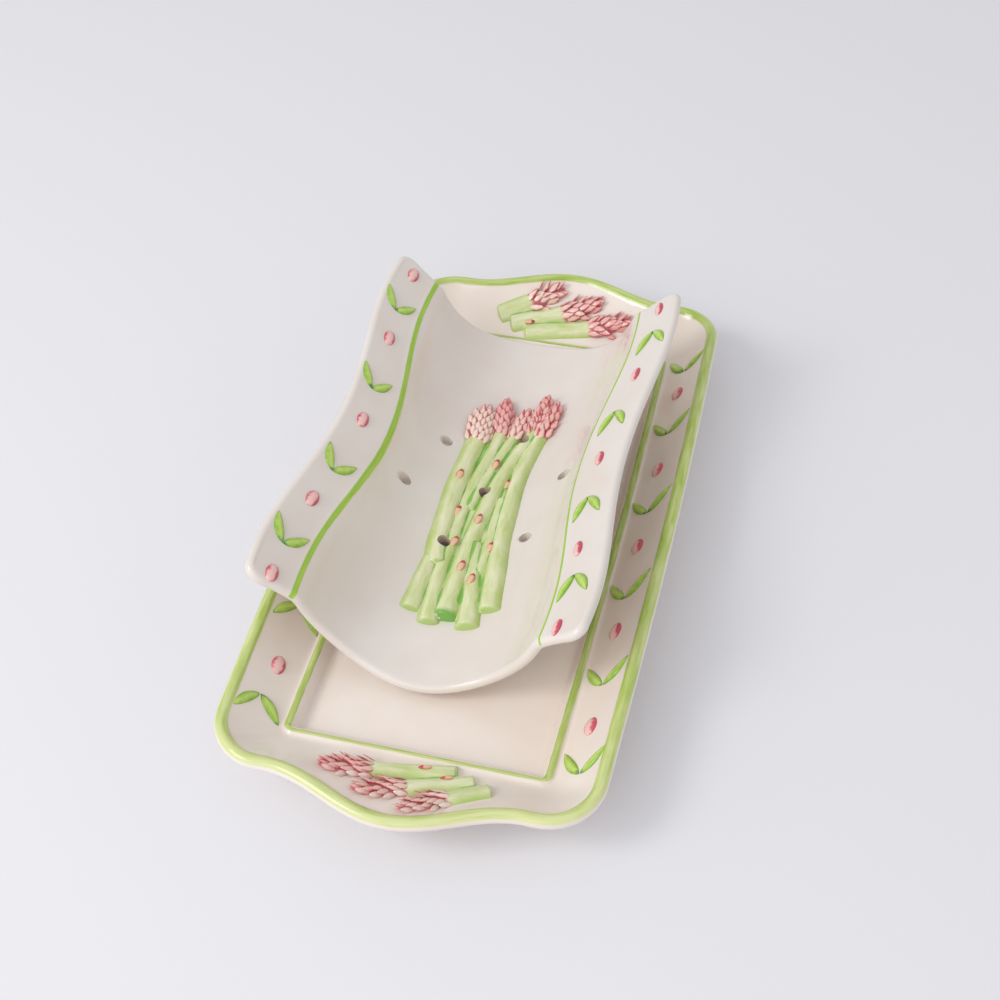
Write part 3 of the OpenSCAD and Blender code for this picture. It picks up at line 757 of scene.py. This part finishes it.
def trough_profile():
    """Across, up and slope at points of the trough's whole section, left edge to right."""
    half = np.zeros((1, 3))
    turns = (0, FLOOR_TURN, SIDE_TURN, FLAP_TURN)
    for key, first, last, steps in zip(("floor_r", "side_r", "flap_r"), turns, turns[1:], ARC_STEPS):
        half = np.concatenate([half, profile_arc(half[-1], DRAINER[key], first, last, steps)])
    root = half[-1]
    flap = (SHEET_HALF_W - root[0]) * (1 - (1 - np.arange(1, FLAP_STEPS + 1) / FLAP_STEPS) ** FLAP_CROWDING)
    flap_line = np.stack([root[0] + flap, root[1] + flap * np.tan(FLAP_TURN), 0 * flap + FLAP_TURN], -1)
    half = np.concatenate([half, flap_line])
    return np.concatenate([half[:0:-1] * (-1, 1, -1), half])


def end_setback(x):
    """How far the end falls short of its tongue's tip at x: the tongue's hump, less the
    flare of the flaps, plus the arc of the corner."""
    half = DRAINER["tongue_w"] / 2
    past = np.clip((x - half) / (SHEET_HALF_W - half), 0, None)
    turn = np.clip(x - (SHEET_HALF_W - DRAINER["corner_r"]), 0, DRAINER["corner_r"])
    return (DRAINER["tongue_out"] * (1 - hump(x / half)) - DRAINER["flare"] * past ** 2
            + DRAINER["corner_r"] - np.sqrt(DRAINER["corner_r"] ** 2 - turn ** 2))


def drawn_in(t):
    """The share by which the trough is narrower at t: a hump in t at the waist, less a
    swell of sin(pi t^2) near the ends."""
    return (DRAINER["waist_in"] * hump(t) - DRAINER["swell"] * np.sin(np.pi * t * t)) / SHEET_HALF_W


def kept_height(t):
    """The share of its height that the trough keeps at t, which dips by a hump in t."""
    return 1 - DRAINER["waist_dip"] * hump(t) / PROFILE[-1, 1]


def trough_place(profile, t):
    """The middle of the sheet at profile points and at share t of the half length."""
    x, z = profile[..., 0], profile[..., 1]
    return np.stack([x * (1 - drawn_in(t)), t * (SHEET_HALF_L - end_setback(np.abs(x))),
                     z * kept_height(t)], -1)


def in_the_well(points):
    """Points of the drainer's own frame, turned and moved to where it stands."""
    c, s = np.cos(DRAINER_TURN), np.sin(DRAINER_TURN)
    x, y, z = np.moveaxis(np.asarray(points), -1, 0)
    return np.stack([DRAINER_PLACE[0] + c * x - s * y, DRAINER_PLACE[1] + s * x + c * y,
                     DRAINER_Z + z], -1)


def line_offset(profile, t):
    """Distance in mm, across the flap, from the green line, which keeps a share of the
    width that narrows at the waist."""
    share = LINE_END_SHARE - (LINE_END_SHARE - LINE_WAIST_SHARE) * hump(t / 0.75)
    return (np.abs(profile[..., 0]) - share * SHEET_HALF_W) / np.cos(FLAP_TURN)


PROFILE = trough_profile()


def drainer_sections():
    """Closed sections from one end to the other. Each runs over the top from the left
    edge's round to the right one and back below. The last few at either end thin by
    cos(b) and move out by sin(b), square to the end's own outline, which rounds it.
    Returns them with their distances from the painted line and their shares t."""
    t = np.concatenate([np.full(ROUND_STEPS, -1.0), np.linspace(-1, 1, SECTIONS),
                        np.full(ROUND_STEPS, 1.0)])[:, None]
    b = np.concatenate([END_TURNS, np.zeros(SECTIONS), END_TURNS[::-1]])[:, None]
    p = np.broadcast_to(PROFILE, (len(t), *PROFILE.shape))
    mid, zero = trough_place(p, t), 0 * p[..., 2]
    up = np.stack([-np.sin(p[..., 2]), zero, np.cos(p[..., 2])], -1)
    across = np.stack([np.cos(p[..., 2]), zero, np.sin(p[..., 2])], -1)
    step = np.gradient(np.stack([PROFILE[:, 0], -end_setback(np.abs(PROFILE[:, 0]))], -1), axis=0)
    out = np.stack([-step[:, 1], step[:, 0]], -1) / np.linalg.norm(step, axis=1)[:, None]
    out[0], out[-1] = (-1, 0), (1, 0)
    endways = np.sign(t)[..., None] * np.array([0, 1.0, 0])
    skin = mid + EDGE_R * np.sin(b)[..., None] * (out[:, :1] * across + out[:, 1:] * endways)
    half_wall = EDGE_R * np.cos(b)
    ridge = RIDGE_H * np.exp(-(line_offset(p, t) / RIDGE_W) ** 2) * (b == 0)
    over, under = (half_wall + ridge)[..., None] * up, half_wall[..., None] * up

    def edge(side, sign):
        """The round of one edge above or below, from the skin out to its middle."""
        turn = np.minimum(EDGE_TURNS, np.pi / 2 - b)[..., None]
        sideways = across[:, side, None] * (-1 if side == 0 else 1)
        return mid[:, side, None] + EDGE_R * (np.cos(turn) * sideways
                                              + sign * np.sin(turn) * up[:, side, None])

    loops = np.concatenate([edge(0, 1)[:, ::-1], skin + over, edge(-1, 1),
                            edge(-1, -1)[:, ::-1], (skin - under)[:, ::-1], edge(0, -1)], 1)
    line = line_offset(p, t) / np.where(p[..., 0] < 0, LINE_LEFT, LINE_RIGHT)
    line = np.pad(line, ((0, 0), (ROUND_STEPS, ROUND_STEPS)), constant_values=OFF_LINE)
    return (loops, np.concatenate([line, np.full_like(line, OFF_LINE)], 1),
            np.broadcast_to(t, (len(t), 2 * line.shape[1])))


def drainer_colour(tree, in_mm, line, along, cut):
    """Cream, with a brushed green line along each flap's root."""
    green = brush_green(tree, along, line, DRAINER_BRUSH, -0.7, "#C4DE66", "#9AC63C")
    return coated(tree, cream(tree, in_mm, *DRAINER_CREAM),
                  (band(tree, line, in_mm, **LINE_PAINT), green), (cut, "#EDE4DC"))


def drill_cutter():
    """Upright cylinders where the seven drain holes go, as one mesh, and their places."""
    turn = HOLE_TURN + 2 * np.pi * np.arange(HOLE_COUNT) / HOLE_COUNT
    spots = np.concatenate([[[0, 0]], HOLE_RING_R * np.stack([np.cos(turn), np.sin(turn)], -1)])
    spots = in_the_well(np.c_[spots, 0 * spots[:, 0]])[:, :2]
    cutter = bmesh.new()
    for x, y in spots:
        bmesh.ops.create_cone(
            cutter, cap_ends=True, segments=HOLE_SIDES, radius1=HOLE_D / 2000, radius2=HOLE_D / 2000,
            depth=DRILL_L / 1000,
            matrix=Matrix.Translation((x / 1000, y / 1000, (DRAINER_Z + DRILL_UP) / 1000)))
    mesh = bpy.data.meshes.new("cutter")
    cutter.to_mesh(mesh)
    cutter.free()
    return in_scene("cutter", mesh), spots


def drill(piece, cutter, spots):
    """Takes the cutter away from the piece, for good. Points within the radius of a hole's
    axis get the marks of a bare wall."""
    cut = piece.modifiers.new("drill", "BOOLEAN")
    cut.operation, cut.object, cut.solver = "DIFFERENCE", cutter, "MANIFOLD"
    ready = piece.evaluated_get(bpy.context.evaluated_depsgraph_get())
    mesh = bpy.data.meshes.new_from_object(ready)
    piece.modifiers.clear()
    piece.data = mesh
    points = np.empty(len(mesh.vertices) * 3)
    mesh.vertices.foreach_get("co", points)
    plan = points.reshape(-1, 3)[:, None, :2] * 1000 - spots
    wall = np.linalg.norm(plan, axis=-1).min(1) < HOLE_D / 2 + 0.02
    for key, value in BARE_WALL.items():
        layer = mesh.attributes.get(key) or mesh.attributes.new(key, "FLOAT", "POINT")
        values = np.empty(len(mesh.vertices), np.float32)
        layer.data.foreach_get("value", values)
        values[wall] = value
        layer.data.foreach_set("value", values)


loops, line_share, t_share = drainer_sections()
measures = {"line_share": line_share, "along_mm": t_share * SHEET_HALF_L}
drainer = clay_piece("drainer_casting",
                     (in_the_well(loops).reshape(-1, 3), grid_faces(*loops.shape[:2], True), measures),
                     glazed("drainer_glazed_earthenware", drainer_colour,
                            "line_share", "along_mm", "cut"), "drainer")
cutter, hole_spots = drill_cutter()
drill(drainer, cutter, hole_spots)

# The drainer stands on a foot ring of its own, a low oval wall of the same clay. The
# glaze is wiped off its rim, so that it doesn't stick to the kiln's shelf.
FOOT_SECTION = ((-1, 1), (-1, 0.14), (-0.84, 0), (0.84, 0), (1, 0.14), (1, 1))
FOOT_STEPS = 96


def foot_ring():
    """The foot's section, in shares of half its wall and of its height, swept round two
    half circles joined by straights."""
    r = (DRAINER["foot_w"] - DRAINER["foot_wall"]) / 2
    straight = (DRAINER["foot_l"] - DRAINER["foot_w"]) / 2
    turn = 2 * np.pi * np.arange(FOOT_STEPS) / FOOT_STEPS
    out = np.stack([np.cos(turn), np.sin(turn)], -1)
    middle = r * out + np.stack([0 * turn, straight * np.where(np.sin(turn) >= 0, 1, -1)], -1)
    section = np.array(FOOT_SECTION)
    top = EDGE_R * 0.4
    low = -EDGE_R - DRAINER["foot_h"]
    plan = middle[:, None] + section[:, 0][None, :, None] * DRAINER["foot_wall"] / 2 * out[:, None]
    z = np.broadcast_to(low + section[:, 1] * (top - low), plan.shape[:2])
    solid = np.concatenate([plan, z[..., None]], -1)
    solid = np.concatenate([solid, solid[:1]])
    rows, cols = solid.shape[:2]
    bare = np.broadcast_to(section[:, 1] < 0.01, (rows, cols))
    return in_the_well(solid).reshape(-1, 3), grid_faces(rows, cols, True), {"bare": bare}


def foot_colour(tree, in_mm, bare):
    """Cream glaze wiped off the rim, which shows the biscuit."""
    return coated(tree, cream(tree, in_mm, *DRAINER_CREAM), (bare, BISCUIT))


clay_piece("drainer_foot", foot_ring(), glazed("wiped_foot_earthenware", foot_colour, "bare"), "drainer")

# Leaves and berries run along both flaps as they do on the platter, and a bunch of
# asparagus lies along the trough in low relief: eight stalks on a low bed, five of them
# with heads, and small bracts on the stalks. The drain holes pass through it as well.
LEFT_FLAP_APEXES = ((-67.8, 75.1), (-67.7, 19.2), (-66.6, -39.3), (-67.2, -90.9))
RIGHT_FLAP_APEXES = ((66.5, 88.5), (63.2, 33.4), (62.9, -25.3), (63.8, -75.9))
FLAP_LEAVES = ((LEFT_FLAP_APEXES, (8.2, 10.4), -0.05), (LEFT_FLAP_APEXES, (-6.6, 14.6), 0.05),
               (RIGHT_FLAP_APEXES, (-5.3, -15.2), -0.05), (RIGHT_FLAP_APEXES, (7.2, -13.1), 0.05))
FLAP_BERRIES = ((-66.8, 104.4), (-66.8, 55.9), (-66.0, -1.3), (-66.4, -59.8), (-66.2, -108.3),
                (66.8, 105.0), (66.0, 56.8), (63.7, 0.1), (62.9, -59.7), (63.4, -107.4))
FLAP_BERRY_W = (6.4,) * 5 + (4.8,) * 5      # the left flap's, then the right one's
BUNCH = (
    spear(((3.6, -72), (2, -40), (0.4, 0), (1, 38)), (38, 33), 2.2),
    spear(((-11.4, -50), (-14, -42), (-16, -22.5), (-17, -8), (-17, 9), (-16.2, 23), (-15, 36),
           (-15.6, 60)), (11.6, 12.2), 4.2, (1.2, 0), (26, 14.5), 0.1),
    spear(((-15.4, -79), (-15.2, -66), (-15.2, -52), (-14.6, -36)), (10.6, 8.4), 3.4),
    spear(((14.3, -84), (12.4, -70), (9.7, -56), (7.2, -43), (5.6, -33)), (12.2, 8.8), 4.2, (0.3, 0)),
    spear(((12.0, -52), (12.2, -34), (11.6, -20), (11.0, -2)), (9.6, 8.4), 3.6),
    spear(((22.6, -74), (20.6, -56), (18.8, -40), (17.4, -24), (16.4, -10), (15.7, 5), (15.5, 20),
           (17.1, 33), (19.6, 46), (24.6, 66)), (12.2, 9.4), 4.2, (0, 0.4), (25, 9), 0.7),
    spear(((-5, -84), (-6.6, -71), (-7.8, -60), (-8.6, -45), (-8.7, -30), (-8.8, -6), (-7.4, 10),
           (-5.2, 27), (-3.4, 40), (-6.6, 68)), (10.8, 9.4), 3.9, (0, 0.3), (26, 10), 0.85),
    spear(((-6, -12), (-3.6, 5), (-0.2, 21.5), (3.1, 36), (6, 46), (7.8, 63)),
          (9, 8.4), 4, (0, 0.2), (22, 10.5), 0.5),
    spear(((2, -80), (1.7, -68), (1.4, -55), (1.7, -43), (2.1, -27), (2.9, -17), (3.8, -6), (5.2, 7),
           (7.8, 19), (11.5, 30.5), (15.6, 42), (17.6, 71)), (12.8, 9.4), 4.2, (0.9, 2), (26, 9.5), 0.7))
BUNCH_GRID = ((-29.0, 35.0), (-93.0, 76.0), 0.5)
BRACTS = ((-17.9, 6.5), (0.5, 19.6), (10.6, 8.4), (-11.2, -15.8), (2.9, -20), (-6.6, -35),
          (14.4, -35.6), (2.6, -50.6), (10.1, -57.1))
BUNCH_SCALES = dict(size=(6.8, 3.8, 0.95), row_step=2.8, step=3.2, stray=0.16)


def trough_surface(points):
    """The drainer's inner face at places of its sheet, x across the profile before the
    waist draws it in and y along: the drawn place, moved out along the profile's normal
    by half the wall. Gives the places and the normals."""
    x, y = np.moveaxis(np.asarray(points, float), -1, 0)
    t = y / (SHEET_HALF_L - end_setback(np.abs(x)))
    half = PROFILE[len(PROFILE) // 2:]
    slope = np.interp(np.abs(x), half[:, 0], half[:, 2]) * np.sign(x)
    z = np.interp(np.abs(x), half[:, 0], half[:, 1]) * kept_height(t)
    up = np.stack([-np.sin(slope), 0 * x, np.cos(slope)], -1)
    return np.stack([x * (1 - drawn_in(t)), y, z], -1) + EDGE_R * up, up


for name, solid, colour in (
        ("drainer_leaves", leaves_on(trough_surface, FLAP_LEAVES), green_leaf),
        ("drainer_berries", berries_on(trough_surface, np.array(FLAP_BERRIES), FLAP_BERRY_W), pink_berry),
        ("bunch_spears", relief_solid(trough_surface, BUNCH_GRID, BUNCH), stalk_green),
        ("bunch_head_scales", head_scales(trough_surface, BUNCH, **BUNCH_SCALES), scale_pink),
        ("bunch_bracts", bracts_on(trough_surface, BUNCH, BRACTS, **BUNCH_BRACT), bract_peach)):
    piece = clay_piece(name, moved(solid, in_the_well), colour, "drainer")
    if name == "bunch_spears":
        drill(piece, cutter, hole_spots)
bpy.data.objects.remove(cutter)

# The plate stands on a plain pale floor in a pale room. A large soft light stands off the
# near end and a small lamp to its left gives the glaze its crisp highlights. Both are white
# and aim at the middle of the plate.
floor_mesh = bpy.data.meshes.new("floor")
floor_mesh.from_pydata([(-6, -6, 0), (6, -6, 0), (6, 6, 0), (-6, 6, 0)], [], [(0, 1, 2, 3)])
floor = in_scene("floor", floor_mesh)
floor_material = bpy.data.materials.new("matt_paper_backdrop")
floor_material.use_nodes = True
floor_shader = floor_material.node_tree.nodes["Principled BSDF"]
floor_shader.inputs["Base Color"].default_value = paint("#EAEAEE")
floor_shader.inputs["Roughness"].default_value = 0.9
floor.data.materials.append(floor_material)


for name, place, size, watts in (("window", (-0.8, -1.5, 1.3), (2.2, 1.6), 12.0),
                                 ("lamp", (-1.2, -0.9, 1.4), (0.7, 0.7), 10.0)):
    lamp = bpy.data.lights.new(name, "AREA")
    lamp.shape, lamp.size, lamp.size_y = "RECTANGLE", *size
    lamp.energy = watts
    aim = (-Vector(place)).to_track_quat("-Z", "Y").to_matrix()
    in_scene(name, lamp).matrix_world = Matrix.LocRotScale(Vector(place), aim, None)
world = bpy.data.worlds.new("pale_room")
bpy.context.scene.world = world
world.use_nodes = True
world.node_tree.nodes["Background"].inputs["Color"].default_value = paint("#F4F4F6")
world.node_tree.nodes["Background"].inputs["Strength"].default_value = 0.73
bpy.context.scene.view_settings.view_transform = "Standard"
